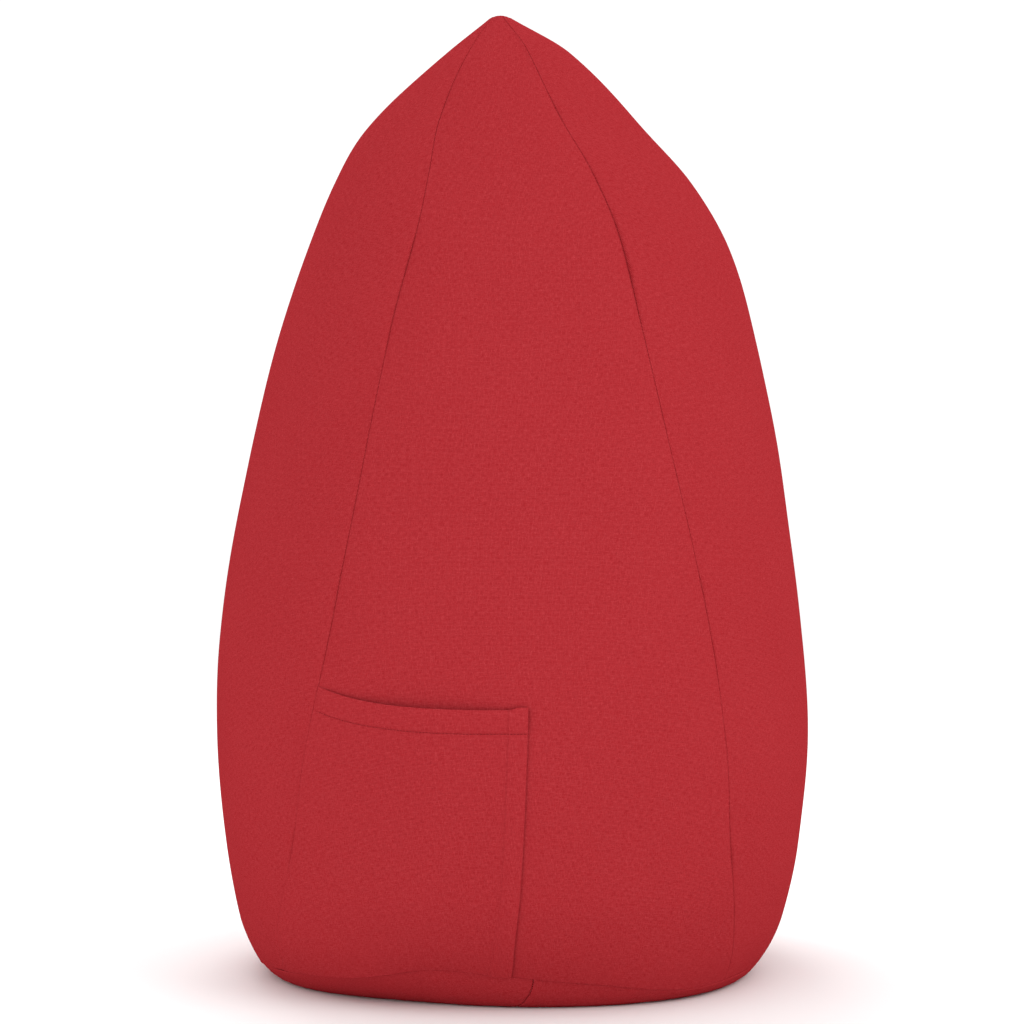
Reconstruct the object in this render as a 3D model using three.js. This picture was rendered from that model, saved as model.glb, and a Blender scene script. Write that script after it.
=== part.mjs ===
import * as THREE from 'three';

// A tall bean bag chair. Millimetres, +Z up, standing on Z = 0. The back of the chair faces -Y, the seat
// faces +Y and the back pocket is on the back panel. Four shaped panels close at a peak and end in a wavy
// rim seam just above the floor. Two half-round base panels meet in a zip that runs from front to back.
// A sewn-up inner liner, cut a little smaller, holds the beads.

// How far the cloth reaches from the middle at each height, as [height, reach] pairs.
const LEFT_REACH = [
  [20, 283], [70, 307], [140, 320], [265, 331], [410, 322], [560, 292],
  [700, 256], [800, 224], [870, 195], [925, 160], [1010, 72], [1050, 22],
];
const RIGHT_REACH = [
  [20, 283], [70, 305], [140, 321], [265, 331], [410, 317], [560, 296],
  [700, 269], [800, 237], [870, 194], [925, 145], [1010, 64], [1050, -4],
];
const REAR_REACH = [
  [20, 288], [120, 345], [265, 362], [420, 355], [600, 325], [800, 270], [950, 205], [1050, 130],
];
const SEAT_REACH = [
  [20, 288], [120, 352], [265, 362], [420, 322], [600, 225], [800, 105], [950, 15], [1050, -105],
];
const PLAN_POWER = 2.2; // 2 would make each level an ellipse, more makes it squarer

// How far round from the middle of the back or the seat each upright seam lies, in degrees.
const REAR_LEFT_SPREAD = [[20, 58], [150, 44], [265, 38], [410, 32], [700, 28], [925, 25], [1050, 40]];
const REAR_RIGHT_SPREAD = [[20, 53], [150, 43], [265, 40], [410, 37], [700, 27], [925, 21], [1050, 14]];
const SEAT_SPREAD = [[20, 50], [265, 40], [600, 32], [1050, 40]];

const RIM_HEIGHT = 24; // mean height of the seam between the walls and the base
const RIM_WAVE = 9; // the rim stands this much higher at the back and seat, and lower at the sides
const RIM_WAVE_REACH = 150; // height over which the wave dies out up the walls
const PANEL_TOP = 1048;
const SEAM_DIP = 4; // how far the stuffed panels sink towards an upright seam
const DIP_SHARPNESS = 6; // more keeps the dip closer to the seam
const DIP_FADE = 0.1; // share of a seam's height over which the dip dies out at each end
const FOOT_SHARE = 0.915; // share of the base that stands flat on the floor
const RIM_CURVE = 1.3; // more keeps the base low for longer before it curls up to the rim
const RIM_CLEAR_SHARE = 0.997; // share of the base's own reach that its cloth covers

// Layers, as depths below the outer face of the cloth.
const CLOTH = 1.5;
const BINDING_DEPTH = 3.2;
const BINDING = 1;
const BINDING_WIDTH = 8;
const RIM_BINDING_LIFT = 1; // the rim's binding lies just above the seam
const LINER_DEPTH = 5.6;
const LINER = 0.8;
const FILL_DEPTH = 7.6;
const LINER_HEIGHT_SHARE = 0.98; // the liner is cut shorter than the cover
const LINER_BASE_HEIGHT = 10;
const LINER_FOOT_SHARE = 0.86; // the liner and the beads round up to the walls sooner than the cover
const FILL_BASE_HEIGHT = 12;
const FILL_TOP = 1005; // the beads stop just short of the peak
const GATHER_INSET = 1.6; // gap between the gathered peak and the panels round it
const LINER_GATHER_INSET = 4.4;
const LINER_GATHER_DROP = 4;

const EDGE_GAP = 0.4; // gap left at every sewn edge
const MITRE = 0.25; // extra gap per millimetre of depth, where panels meet at an angle
const PANEL_COLUMNS = 8;
const PANEL_ROWS = 18;
const ROW_CROWDING = 0.08; // how far the rows shift towards the rim and the peak

// The zip, straight along Y in the middle of the base.
const ZIP_HALF_LENGTH = 200;
const SLOT_HALF_WIDTH = 4.5;
const SLOT_CLEAR = 216; // the base panels close up again beyond this distance
const BASE_SEAM_CLEAR = 2;
const BASE_SEAM = 34; // bound length of the plain seam at each end of the zip
const GROOVE_HEIGHT = 4; // the zip is tucked up from the floor
const GROOVE_FLAT = 17;
const GROOVE_FOOT = 32;
const TAPE_OUTER = 15;
const TAPE_SPARE = 12; // tape beyond each end of the coils
const COIL_INNER = 0.8;
const COIL_OUTER = 2.6;
const COIL_THICKNESS = 1.6;
const TAPE_THICKNESS = 0.7;
const SLIDER_HALF_WIDTH = 4.2;
const SLIDER_PLATE = 1.2;
const SLIDER_POST = 0.4;
const SLIDER_LENGTH = 12;
const SLIDER_BELOW = 0.5; // gap between the lower plate and the coils
const SLIDER_ABOVE = 0.5; // gap between the coils and the upper plate
const SLIDER_START = 186; // closed end of the travel, under the garage
const STOP_GAP = 1;
const STOP_LENGTH = 4;
const GARAGE = { halfWidth: 15, from: 165, to: 230, thickness: 1.4, gap: 0.6 };

// The patch pocket on the back panel.
const POCKET_LEFT = 0.006; // share of the way across the panel, where the seam catches it
const POCKET_RIGHT_BOTTOM = 0.502;
const POCKET_RIGHT_TOP = 0.528;
const POCKET_BOTTOM = 34;
const POCKET_TOP = 314;
const POCKET_CORNER_RISE = 20; // the mouth sags between a high left corner and the right edge
const POCKET_GAP = 1;
const POCKET_GAPE = 12; // how far the slack mouth stands off the panel
const GAPE_SKEW = 1.4; // more moves the widest part of the mouth to the right
const GAPE_RISE = 3; // more keeps the gape closer to the mouth
const POCKET_CELLS = 10;

const SEAMS = [
  { name: 'rear_left', centre: 270, side: -1, spread: REAR_LEFT_SPREAD },
  { name: 'rear_right', centre: 270, side: 1, spread: REAR_RIGHT_SPREAD },
  { name: 'seat_right', centre: 450, side: -1, spread: SEAT_SPREAD },
  { name: 'seat_left', centre: 450, side: 1, spread: SEAT_SPREAD },
];
// Panel i runs from seam i to the next one.
const PANELS = [
  { name: 'rear', centre: 270 },
  { name: 'right_side', centre: 360 },
  { name: 'seat', centre: 450 },
  { name: 'left_side', centre: 540 },
];

const { clamp, degToRad, euclideanModulo, lerp, smoothstep } = THREE.MathUtils;
const group = new THREE.Group();

function add(name, geometry, color, roughness, metalness = 0) {
  const mesh = new THREE.Mesh(geometry, new THREE.MeshStandardMaterial({ color, roughness, metalness }));
  mesh.name = name;
  group.add(mesh);
}

const RED_CLOTH = 0xb2303a;
const DARK_RED_TAPE = 0x8a2028;
const OFF_WHITE_CLOTH = 0xe9e6df;
const DARK_RED_NYLON = 0x7d1c24;
const DULL_METAL = 0x9a9a9c;
const WHITE_BEADS = 0xf4f4f2;

const addCloth = (name, geometry) => add(name, geometry, RED_CLOTH, 0.95);
const addBinding = (name, geometry) => add(name, geometry, DARK_RED_TAPE, 0.9);
const addLiner = (name, geometry) => add(name, geometry, OFF_WHITE_CLOTH, 0.8);
const addZip = (name, geometry) => add(name, geometry, DARK_RED_NYLON, 0.6);
const addMetal = (name, geometry) => add(name, geometry, DULL_METAL, 0.35, 1);

// A smooth curve through [place, value] pairs.
function valueAt(pairs, place) {
  const slope = (i) => {
    const before = pairs[Math.max(i - 1, 0)];
    const after = pairs[Math.min(i + 1, pairs.length - 1)];
    return (after[1] - before[1]) / (after[0] - before[0]);
  };
  const next = pairs.findIndex((pair) => pair[0] > place);
  const i = clamp(next < 0 ? pairs.length - 2 : next - 1, 0, pairs.length - 2);
  const [from, fromValue] = pairs[i];
  const [to, toValue] = pairs[i + 1];
  const length = to - from;
  const t = (place - from) / length;
  const bend = (1 - t) * t * length * ((1 - t) * slope(i) - t * slope(i + 1));
  return lerp(fromValue, toValue, t * t * (3 - 2 * t)) + bend;
}

function signedPower(value, power) {
  return Math.sign(value) * Math.abs(value) ** power;
}

// The level outline of the bag at one height.
function outlineAt(height) {
  const left = valueAt(LEFT_REACH, height);
  const right = valueAt(RIGHT_REACH, height);
  const rear = valueAt(REAR_REACH, height);
  const seat = valueAt(SEAT_REACH, height);
  return {
    middleX: (right - left) / 2,
    middleY: (seat - rear) / 2,
    halfX: (right + left) / 2,
    halfY: (seat + rear) / 2,
  };
}

const rimWave = (angle) => -RIM_WAVE * Math.cos(2 * angle);

function wallPoint(angle, height, dip = 0) {
  const { middleX, middleY, halfX, halfY } = outlineAt(height);
  const fade = clamp(1 - (height - RIM_HEIGHT) / RIM_WAVE_REACH, 0, 1) ** 2;
  return new THREE.Vector3(
    middleX + (halfX - dip) * signedPower(Math.cos(angle), 2 / PLAN_POWER),
    middleY + (halfY - dip) * signedPower(Math.sin(angle), 2 / PLAN_POWER),
    height + rimWave(angle) * fade,
  );
}

function seamAngle(index, height) {
  const { centre, side, spread } = SEAMS[euclideanModulo(index, SEAMS.length)];
  const turns = Math.floor(index / SEAMS.length);
  return degToRad(centre + side * valueAt(spread, height) + 360 * turns);
}

// The angle at a place counted round the bag in panels: 0 is the rear-left seam, 2.5 is mid-seat.
function coverAngle(around, height) {
  const panel = Math.floor(around);
  const across = around - panel;
  const turns = Math.floor(panel / PANELS.length);
  const centre = degToRad(PANELS[euclideanModulo(panel, PANELS.length)].centre + 360 * turns);
  if (across < 0.5) {
    return lerp(seamAngle(panel, height), centre, 2 * across);
  }
  return lerp(centre, seamAngle(panel + 1, height), 2 * across - 1);
}

// A point on the outer face of the cover.
function coverPoint(around, height) {
  const angle = coverAngle(around, height);
  const across = around - Math.floor(around);
  const up = clamp((height - RIM_HEIGHT) / (PANEL_TOP - RIM_HEIGHT), 0, 1);
  const fade = smoothstep(up, 0, DIP_FADE) * (1 - smoothstep(up, 1 - DIP_FADE, 1));
  return wallPoint(angle, height, SEAM_DIP * fade * Math.abs(2 * across - 1) ** DIP_SHARPNESS);
}

// Heights of the rows of each panel, closer together near the rim and the peak.
function rowHeight(share) {
  return lerp(RIM_HEIGHT, PANEL_TOP, share - ROW_CROWDING * Math.sin(2 * Math.PI * share));
}

// A surface is a function of two shares whose directions cross to point outwards.
function offsetPoint(surface, u, v, depth) {
  const step = 1e-4;
  const point = surface(u, v);
  const alongU = surface(u + step, v).sub(surface(u - step, v));
  const alongV = surface(u, v + step).sub(surface(u, v - step));
  return point.addScaledVector(alongU.cross(alongV).normalize(), -depth);
}

// A point of a sheet at one depth, kept back from the sewn edges.
function sheetPoint(surface, u, v, depth) {
  const inset = EDGE_GAP + MITRE * Math.max(depth, 0);
  const insetU = inset / surface(0, v).distanceTo(surface(1, v));
  const insetV = inset / surface(u, 0).distanceTo(surface(u, 1));
  return offsetPoint(surface, clamp(u, insetU, 1 - insetU), clamp(v, insetV, 1 - insetV), depth);
}

// A closed mesh of four-cornered faces, each cut from its first corner to its third.
function bodyOf(positions, quads) {
  const geometry = new THREE.BufferGeometry();
  geometry.setAttribute('position', new THREE.Float32BufferAttribute(positions, 3));
  geometry.setIndex(quads.flatMap(([a, b, c, d]) => [a, b, c, a, c, d]));
  geometry.computeVertexNormals();
  return geometry;
}

// A closed sheet of cloth between two depths under one surface, with both faces cut into matching triangles.
function sheet(surface, columns, rows, outerDepth, innerDepth) {
  const positions = [];
  [outerDepth, innerDepth].forEach((depth) => {
    for (let row = 0; row <= rows; row += 1) {
      for (let column = 0; column <= columns; column += 1) {
        positions.push(...sheetPoint(surface, column / columns, row / rows, depth));
      }
    }
  });
  const outer = (column, row) => row * (columns + 1) + column;
  const inner = (column, row) => outer(column, row) + positions.length / 6;
  const quads = [];
  for (let row = 0; row < rows; row += 1) {
    const next = row + 1;
    quads.push([outer(0, row), outer(0, next), inner(0, next), inner(0, row)]);
    quads.push([inner(columns, row), inner(columns, next), outer(columns, next), outer(columns, row)]);
    for (let i = 0; i < columns; i += 1) {
      quads.push([outer(i, row), outer(i + 1, row), outer(i + 1, next), outer(i, next)]);
      quads.push([inner(i, row), inner(i, next), inner(i + 1, next), inner(i + 1, row)]);
    }
  }
  for (let i = 0; i < columns; i += 1) {
    quads.push([inner(i, 0), inner(i + 1, 0), outer(i + 1, 0), outer(i, 0)]);
    quads.push([outer(i, rows), outer(i + 1, rows), inner(i + 1, rows), inner(i, rows)]);
  }
  return bodyOf(positions, quads);
}

// A closed body wrapped round the bag: each station is the path that one point of its section follows.
// Stations up to outerCount are on its outer face. The inner ones are cut the other way, to match.
function wrapped(stations, outerCount = stations.length) {
  const segments = PANELS.length * PANEL_COLUMNS;
  const positions = [];
  const quads = [];
  for (let segment = 0; segment < segments; segment += 1) {
    stations.forEach((station) => positions.push(...station(segment / PANEL_COLUMNS)));
    const from = segment * stations.length;
    const to = ((segment + 1) % segments) * stations.length;
    for (let i = 0; i < stations.length - 1; i += 1) {
      const quad = [from + i, to + i, to + i + 1, from + i + 1];
      quads.push(i < outerCount ? quad : [...quad.slice(1), quad[0]]);
    }
  }
  return bodyOf(positions, quads);
}

function block(fromX, toX, fromY, toY, fromZ, toZ) {
  const geometry = new THREE.BoxGeometry(toX - fromX, toY - fromY, toZ - fromZ);
  return geometry.translate((fromX + toX) / 2, (fromY + toY) / 2, (fromZ + toZ) / 2);
}

const underCover = (around, height, depth) => offsetPoint(coverPoint, around, height, depth);

// The base: flat on the floor, then curling up to meet the rim.
const base = outlineAt(RIM_HEIGHT);

function baseRise(share, angle, footShare = FOOT_SHARE) {
  const curl = clamp((share - footShare) / (1 - footShare), 0, 1) ** RIM_CURVE;
  return curl * (RIM_HEIGHT + rimWave(angle));
}

function insideBase(around, share, lift) {
  const place = coverPoint(around, RIM_HEIGHT);
  place.x = lerp(base.middleX, place.x, share);
  place.y = lerp(base.middleY, place.y, share);
  place.z = lift + baseRise(share, coverAngle(around, RIM_HEIGHT), LINER_FOOT_SHARE);
  return place;
}

// ---- Cover: four walls, two base halves, the gathered peak ----

const panelSurface = (index) => (u, v) => coverPoint(index + u, rowHeight(v));

PANELS.forEach(({ name }, index) => {
  addCloth(`${name}_panel`, sheet(panelSurface(index), PANEL_COLUMNS, PANEL_ROWS, 0, CLOTH));
});

// Rows fan out from the middle seam to the columns of the walls. Columns run from the seam to the rim: each
// is at least reach from the middle, and then at a share of the way from there to the rim.
const BASE_ROWS = 2 * PANEL_COLUMNS - 2;
const BASE_COLUMNS = [
  { reach: 0, share: 0 },
  { reach: GROOVE_FLAT, share: 0 },
  { reach: GROOVE_FOOT, share: 0 },
  { reach: GROOVE_FOOT, share: 0.5 },
  { reach: GROOVE_FOOT, share: 0.9 },
  { reach: GROOVE_FOOT, share: 0.96 },
  { reach: GROOVE_FOOT, share: RIM_CLEAR_SHARE },
];

// Where row v starts on the middle seam: the rim, the edge of the foot, the end of the zip slot, the zip.
function seamY(v) {
  const stops = [1, FOOT_SHARE, SLOT_CLEAR / base.halfY];
  const row = BASE_ROWS * Math.min(v, 1 - v);
  const last = stops.length - 1;
  const toMiddle = (row - last) / (BASE_ROWS / 2 - last);
  const i = Math.min(Math.max(Math.floor(row), 0), last - 1);
  const share = row < last ? lerp(stops[i], stops[i + 1], row - i) : stops[last] * (1 - toMiddle);
  return base.middleY + Math.sign(v - 0.5) * share * base.halfY * RIM_CLEAR_SHARE;
}

// Half of the base: u runs towards +X and v towards -Y, so that the surface faces down.
function baseSurface(side) {
  return (u, v) => {
    const across = side > 0 ? u : 1 - u;
    const along = 1 - v;
    const row = BASE_ROWS * along;
    const around = 0.5 + side * (row + 1) / PANEL_COLUMNS;
    const rim = coverPoint(around, RIM_HEIGHT);
    const start = seamY(along);
    const slot = SLOT_HALF_WIDTH * (1 - smoothstep(
      Math.abs(start - base.middleY), SLOT_CLEAR, FOOT_SHARE * base.halfY * RIM_CLEAR_SHARE));
    const column = clamp(Math.floor(across * (BASE_COLUMNS.length - 1)), 0, BASE_COLUMNS.length - 2);
    const part = across * (BASE_COLUMNS.length - 1) - column;
    const from = BASE_COLUMNS[column];
    const to = BASE_COLUMNS[column + 1];
    const reach = side * lerp(Math.max(from.reach, slot), Math.max(to.reach, slot), part);
    const x = lerp(reach, rim.x, lerp(from.share, to.share, part));
    const y = lerp(start, rim.y, x / rim.x);
    const acrossX = (x - base.middleX) / base.halfX;
    const acrossY = (y - base.middleY) / base.halfY;
    const out = (Math.abs(acrossX) ** PLAN_POWER + Math.abs(acrossY) ** PLAN_POWER) ** (1 / PLAN_POWER);
    const angle = Math.atan2(signedPower(acrossY, PLAN_POWER / 2), signedPower(acrossX, PLAN_POWER / 2));
    const toGroove = (GROOVE_FOOT - Math.abs(x)) / (GROOVE_FOOT - GROOVE_FLAT);
    const groove = GROOVE_HEIGHT * clamp(toGroove, 0, 1);
    const endRise = baseRise(1, angle) * clamp(1 - BASE_ROWS * Math.min(v, 1 - v), 0, 1);
    return new THREE.Vector3(x, y, Math.max(groove, baseRise(out, angle), endRise));
  };
}

const SIDES = [['left', -1], ['right', 1]];

SIDES.forEach(([name, side]) => {
  addCloth(`base_panel_${name}`, sheet(baseSurface(side), BASE_COLUMNS.length - 1, BASE_ROWS, 0, CLOTH));
});

// The four panel ends, gathered and tacked together to fill the hole at the peak. Its section is a list of
// [share of the hole's reach, height above the panels] points.
const GATHER_SECTION = [[0, -12], [0.7, -11.5], [1, -5], [1, -1], [0.85, 0.8], [0.5, 2], [0, 2]];

function gather(inset) {
  const hole = outlineAt(PANEL_TOP);
  const stations = GATHER_SECTION.map(([share, rise]) => (around) => {
    const angle = around * Math.PI / 2;
    const x = share * (hole.halfX - inset) * Math.cos(angle);
    const y = share * (hole.halfY - inset) * Math.sin(angle);
    return new THREE.Vector3(hole.middleX + x, hole.middleY + y, PANEL_TOP + rise);
  });
  return wrapped(stations);
}

addCloth('peak_gather', gather(GATHER_INSET));

// ---- Bindings over the raw edges inside the seams ----

const BINDING_ROWS = PANEL_ROWS - 3;

SEAMS.forEach(({ name }, index) => {
  const surface = (u, v) => {
    const height = rowHeight((1 + BINDING_ROWS * v) / PANEL_ROWS);
    const panelWidth = coverPoint(index, height).distanceTo(coverPoint(index + 1, height));
    return coverPoint(index + (u - 0.5) * BINDING_WIDTH / panelWidth, height);
  };
  const binding = sheet(surface, 2, BINDING_ROWS, BINDING_DEPTH, BINDING_DEPTH + BINDING);
  addBinding(`${name}_seam_binding`, binding);
});

const RIM_SECTION = [[0, 0], [1, 0], [1, 1], [0, 1], [0, 0]];
const rimStations = RIM_SECTION.map(([up, inward]) => (around) => (
  underCover(around, RIM_HEIGHT + RIM_BINDING_LIFT + up * BINDING_WIDTH, BINDING_DEPTH + inward * BINDING)
));
addBinding('rim_seam_binding', wrapped(rimStations, 2));

// ---- Patch pocket, caught in the rear-left and rim seams ----

function pocketSurface(u, v) {
  const across = lerp(POCKET_LEFT, lerp(POCKET_RIGHT_BOTTOM, POCKET_RIGHT_TOP, v), u);
  const top = POCKET_TOP + POCKET_CORNER_RISE * (1 - u) ** 3;
  const gape = POCKET_GAPE * Math.sin(Math.PI * u ** GAPE_SKEW) * v ** GAPE_RISE;
  return underCover(across, lerp(POCKET_BOTTOM, top, v), -POCKET_GAP - gape);
}

addCloth('pocket_panel', sheet(pocketSurface, POCKET_CELLS, POCKET_CELLS, -CLOTH, 0));

// ---- Zip ----

const clothTop = GROOVE_HEIGHT + CLOTH;
const zipBottom = clothTop + EDGE_GAP;
const coilTop = zipBottom + COIL_THICKNESS;
const tapeReach = ZIP_HALF_LENGTH + TAPE_SPARE;

SIDES.forEach(([name, side]) => {
  const span = (inner, outer) => [side * inner, side * outer].sort((a, b) => a - b);
  const tape = span(COIL_OUTER + EDGE_GAP, TAPE_OUTER);
  const coil = span(COIL_INNER, COIL_OUTER);
  addZip(`zip_tape_${name}`, block(...tape, -tapeReach, tapeReach, zipBottom, zipBottom + TAPE_THICKNESS));
  addZip(`zip_coil_${name}`, block(...coil, -ZIP_HALF_LENGTH, ZIP_HALF_LENGTH, zipBottom, coilTop));
});

[['front', 1], ['rear', -1]].forEach(([name, end]) => {
  const near = end * (ZIP_HALF_LENGTH + STOP_GAP);
  const far = near + end * STOP_LENGTH;
  const stop = block(-COIL_OUTER, COIL_OUTER, Math.min(near, far), Math.max(near, far), zipBottom, coilTop);
  addMetal(`zip_stop_${name}`, stop);
  const seam = [end * (SLOT_CLEAR + BASE_SEAM_CLEAR), end * (SLOT_CLEAR + BASE_SEAM)].sort((a, b) => a - b);
  const half = BINDING_WIDTH / 2;
  addBinding(`base_${name}_seam_binding`, block(-half, half, ...seam, zipBottom, zipBottom + BINDING));
});

// Slider with no pull tab: two plates joined by a post that runs between the coils.
function slider() {
  const lower = zipBottom - SLIDER_BELOW;
  const bottom = lower - SLIDER_PLATE;
  const upper = coilTop + SLIDER_ABOVE;
  const corners = [
    [SLIDER_HALF_WIDTH, bottom], [SLIDER_HALF_WIDTH, lower], [SLIDER_POST, lower], [SLIDER_POST, upper],
    [SLIDER_HALF_WIDTH, upper], [SLIDER_HALF_WIDTH, upper + SLIDER_PLATE],
  ];
  const mirrored = corners.map(([x, z]) => [-x, z]).reverse();
  const outline = new THREE.Shape([...corners, ...mirrored].map(([x, z]) => new THREE.Vector2(x, z)));
  const geometry = new THREE.ExtrudeGeometry(outline, { depth: SLIDER_LENGTH, bevelEnabled: false });
  geometry.rotateX(Math.PI / 2);
  return geometry.translate(0, SLIDER_START + SLIDER_LENGTH / 2, 0);
}

addMetal('zip_slider', slider());

// The garage: a flap under the front end of the zip that hides the slider.
const garageTop = GROOVE_HEIGHT - GARAGE.gap;
addCloth('zip_garage', block(
  -GARAGE.halfWidth, GARAGE.halfWidth, GARAGE.from, GARAGE.to, garageTop - GARAGE.thickness, garageTop,
));

// ---- Liner and beads ----

function addLinerPart(name, geometry) {
  addLiner(name, geometry.scale(1, 1, LINER_HEIGHT_SHARE));
}

PANELS.forEach(({ name }, index) => {
  addLinerPart(
    `liner_${name}_panel`,
    sheet(panelSurface(index), PANEL_COLUMNS, PANEL_ROWS, LINER_DEPTH, LINER_DEPTH + LINER),
  );
});
addLinerPart('liner_peak_gather', gather(LINER_GATHER_INSET).translate(0, 0, -LINER_GATHER_DROP));

const LINER_BASE_SHARES = [0, 0.5, LINER_FOOT_SHARE, FOOT_SHARE, 0.97];
const inside = (lift) => (share) => (around) => insideBase(around, share, lift);
const linerBaseStations = [
  ...LINER_BASE_SHARES.map(inside(LINER_BASE_HEIGHT)),
  ...LINER_BASE_SHARES.toReversed().map(inside(LINER_BASE_HEIGHT + LINER)),
];
addLiner('liner_base_panel', wrapped(linerBaseStations, LINER_BASE_SHARES.length));

const FILL_BASE_SHARES = [0, 0.5, LINER_FOOT_SHARE, 0.945];
const fillStations = FILL_BASE_SHARES.map(inside(FILL_BASE_HEIGHT));
for (let row = 1; row < PANEL_ROWS; row += 1) {
  fillStations.push((around) => {
    const place = underCover(around, rowHeight(row / PANEL_ROWS), FILL_DEPTH);
    place.z *= LINER_HEIGHT_SHARE;
    return place;
  });
}
fillStations.push(() => {
  const { middleX, middleY } = outlineAt(PANEL_TOP);
  return new THREE.Vector3(middleX, middleY, FILL_TOP);
});
add('bead_fill', wrapped(fillStations), WHITE_BEADS, 0.7);

// The origin is the middle of the footprint.
const middle = new THREE.Box3().setFromObject(group).getCenter(new THREE.Vector3());
group.children.forEach(({ geometry }) => geometry.translate(-middle.x, -middle.y, 0));

export default group;
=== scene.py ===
"""A tall bean bag chair seen from behind: sewn cloth cover with a patch pocket, over a liner full of beads.

Lengths in the shape tables are millimetres and everything made from them is in metres. The back of the
chair faces -Y, the seat faces +Y, and the chair stands on Z = 0.
"""

import math

import bpy
import numpy as np
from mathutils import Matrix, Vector


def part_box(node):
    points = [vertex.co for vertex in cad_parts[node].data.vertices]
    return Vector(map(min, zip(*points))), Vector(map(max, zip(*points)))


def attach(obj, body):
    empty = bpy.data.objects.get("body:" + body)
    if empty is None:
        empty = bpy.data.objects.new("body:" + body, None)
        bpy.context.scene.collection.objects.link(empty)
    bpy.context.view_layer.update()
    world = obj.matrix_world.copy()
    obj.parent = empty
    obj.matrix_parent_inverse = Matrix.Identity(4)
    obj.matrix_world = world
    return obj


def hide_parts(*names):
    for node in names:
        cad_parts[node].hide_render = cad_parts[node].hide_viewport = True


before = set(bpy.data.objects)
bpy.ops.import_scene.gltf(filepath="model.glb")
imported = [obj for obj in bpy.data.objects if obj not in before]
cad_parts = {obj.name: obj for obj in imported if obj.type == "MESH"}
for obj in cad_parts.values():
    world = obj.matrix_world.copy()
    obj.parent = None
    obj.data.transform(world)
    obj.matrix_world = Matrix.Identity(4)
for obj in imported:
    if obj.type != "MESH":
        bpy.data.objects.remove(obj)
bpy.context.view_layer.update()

MM = 0.001
ALMOST_ONE = 1 - 1e-9  # the last place across a panel that still counts as on it

# ---- Shape of the bag: reach from the middle at each height, as [height, reach] pairs ----
LEFT_REACH = [
    [20, 280], [45, 296], [70, 307], [140, 320], [265, 331], [410, 322], [560, 292],
    [700, 256], [800, 224], [870, 195], [925, 160], [1010, 72], [1050, 22],
]
RIGHT_REACH = [
    [20, 275], [45, 292], [70, 303], [140, 321], [265, 331], [410, 318], [560, 296],
    [700, 269], [800, 238], [870, 195], [925, 145], [1010, 64], [1050, -4],
]
REAR_REACH = [
    [20, 295], [60, 320], [120, 345], [265, 362], [420, 355], [600, 325],
    [800, 270], [950, 205], [1050, 130],
]
SEAT_REACH = [
    [20, 287], [60, 321], [120, 350], [265, 362], [420, 322], [600, 225],
    [800, 105], [950, 15], [1050, -105],
]
PLAN_POWER = 2.2  # the level outline is this much squarer than an oval, which has 2
# Degrees from the middle of the back or of the seat to a seam, as [height, degrees] pairs.
REAR_LEFT_SPREAD = [[20, 58], [150, 44], [265, 38], [410, 32], [700, 28], [925, 25], [1050, 40]]
REAR_RIGHT_SPREAD = [
    [20, 53], [150, 43], [265, 40], [410, 37], [700, 27], [925, 21], [1010, 14], [1050, 10],
]
SEAT_SPREAD = [[20, 50], [265, 40], [600, 32], [1050, 40]]
# Seam i is the first edge of panel i: middle of its panel, side, and degrees from there at each height.
SEAMS = [
    ("rear_left", 270, -1, REAR_LEFT_SPREAD),
    ("rear_right", 270, 1, REAR_RIGHT_SPREAD),
    ("seat_right", 450, -1, SEAT_SPREAD),
    ("seat_left", 450, 1, SEAT_SPREAD),
]
PANELS = [("rear", 270), ("right_side", 360), ("seat", 450), ("left_side", 540)]

RIM_HEIGHT = 24
RIM_WAVE = 9  # the rim seam runs this much lower at the sides and higher at the back and the seat
RIM_WAVE_REACH = 150  # height above the rim over which its wave dies out
PANEL_TOP = 1048
SEAM_DIP = 1.2
DIP_SHARPNESS = 6
DIP_FADE = [0.03, 0.1]  # shares of the wall over which the dip at a seam runs out, at the rim and the peak
# The rim seam runs high left of the middle of the back and low right of it and at the seat, as [angle,
# spread, rise] in degrees and millimetres.
RIM_SWELLS = [[-103, 14, 11], [-52, 20, -13], [90, 45, -12]]
FOOT_SHARE = 0.932  # the base lies flat on the floor out to this share of its reach
# It leaves the floor further in at the left of the back, behind and in front, as [angle, spread, share].
FOOT_HOLLOWS = [[-117, 25, 0.08], [-90, 45, 0.022], [90, 50, 0.05]]
RIM_CURVE = 1.7  # how sharply it curls up to the rim

# ---- Cloth ----
CLOTH = 1
ROLL = 1.1  # radius at which cloth turns in to a seam
SEAM_GAP = 0.06  # half the slit between two panels
ROLL_STEPS = 5
EDGE_STEPS = [2.3, 3.6, 5.4, 8, 11.5]  # distances from a seam of the columns next to it
CELL = 7  # size of the quads of the cover

# ---- Camera and light ----
CAMERA_DISTANCE = 3.0
CAMERA_HEIGHT = 0.511
CAMERA_LENS = 93.15
# Area lights, as name, place, the point it faces, width and watts.
LIGHTS = [
    ("key", (2.3, -1.9, 2.3), (0, 0, 0.5), 2.0, 32),
    ("fill", (-1.9, -2.7, 0.6), (0, 0, 0.2), 1.0, 12),
    ("overhead", (-0.6, 1.6, 3.0), (0, 0, 0.5), 2.0, 34),
]
WORLD_STRENGTH = 1.1
FLOOR_BRIGHTNESS = 0.93
FLOOR_REACH = 40
FLOOR_CLEAR = -0.0005  # the floor lies this far under the bag

SLIDER_START = 186
slider_low, slider_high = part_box("zip_slider")
# The zip lies on the line X = 0 of the shape tables, and its slider rests with its middle at SLIDER_START.
SHIFT = np.array([
    (slider_low.x + slider_high.x) / 2,
    (slider_low.y + slider_high.y) / 2 - SLIDER_START * MM,
    0,
])


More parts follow.
